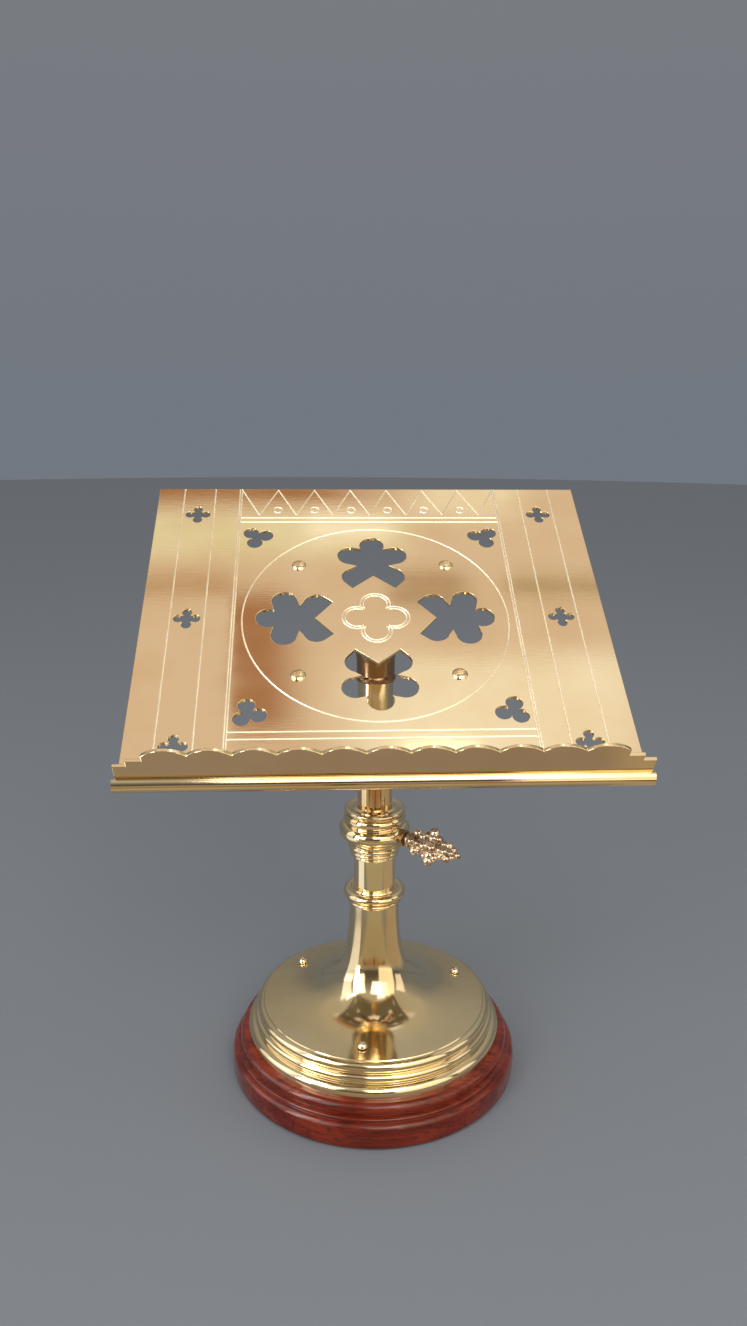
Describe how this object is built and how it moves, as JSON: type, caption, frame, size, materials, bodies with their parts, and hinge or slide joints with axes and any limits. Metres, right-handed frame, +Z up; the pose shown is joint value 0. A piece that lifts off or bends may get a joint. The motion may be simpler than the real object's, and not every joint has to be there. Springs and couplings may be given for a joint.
{
  "type": "table lectern",
  "caption": "Brass table lectern: a pierced and engraved sloping desk with a scalloped ledge, on a sliding stem with a thumbscrew, over a spun foot and a turned mahogany plinth.",
  "frame": {"origin": "centre of the underside of the baize pad, on the column's axis", "axes": "+Z up along the column, -Y towards the reader's side, where the ledge is, +X towards the reader's right"},
  "size_m": [0.305, 0.2442, 0.3992],
  "materials": {
    "baize": "dark green baize",
    "mahogany": "french-polished red-brown mahogany, turned, glossy",
    "brass_spun": "polished, lacquered, spun foot",
    "brass_turned": "polished, turned and drawn",
    "brass_plate": "polished sheet, engraved and pierced",
    "brass_cast": "cast, polished",
    "brass_dark": "toned, unpolished",
    "steel": "plain steel fixings, dulled",
    "leather_pad": "hard leather pad"
  },
  "bodies": {
    "base": {"baize_pad": "baize", "wood_plinth": "mahogany", "foot_shell": "brass_spun", "foot_screws": "brass_turned", "base_washer": "steel", "base_nut": "steel", "outer_tube": "brass_turned", "neck_ring": "brass_turned", "clamp_knop": "brass_turned", "clamp_insert": "brass_dark"},
    "guide": {"stem_guide": "brass_turned"},
    "desk": {"stem_tube": "brass_turned", "stem_plug": "brass_turned", "guide_ring": "brass_turned", "desk_bracket": "brass_cast", "bracket_grub_screw": "steel", "desk_plate": "brass_plate", "desk_screws": "brass_turned", "desk_nuts": "brass_turned", "ledge_gallery": "brass_plate", "ledge_nosing": "brass_turned", "ledge_screws": "brass_turned"},
    "clamp": {"clamp_shoe": "leather_pad"},
    "thumbscrew": {"thumbscrew_shank": "steel", "thumbscrew_head": "brass_cast"}
  },
  "joints": [
    {"name": "stem_height", "type": "slide", "parent": "base", "child": "guide", "axis": [0, 0, 1], "range_m": [-0.085, 0.05]},
    {"name": "desk_swivel", "type": "hinge", "parent": "guide", "child": "desk", "pos_m": [0, 0, 0.1045], "axis": [0, 0, 1], "continuous": true},
    {"name": "clamp_travel", "type": "slide", "parent": "base", "child": "clamp", "axis": [0.7431, -0.6691, 0], "range_m": [0, 0.0015]},
    {"name": "thumbscrew_turn", "type": "hinge", "parent": "clamp", "child": "thumbscrew", "pos_m": [0, 0, 0.1775], "axis": [0.7431, -0.6691, 0], "range_deg": [0, 540]}
  ],
  "couplings": [
    {"joint": "thumbscrew_turn", "follows": "clamp_travel", "rad_per_m": 6283.2}
  ]
}
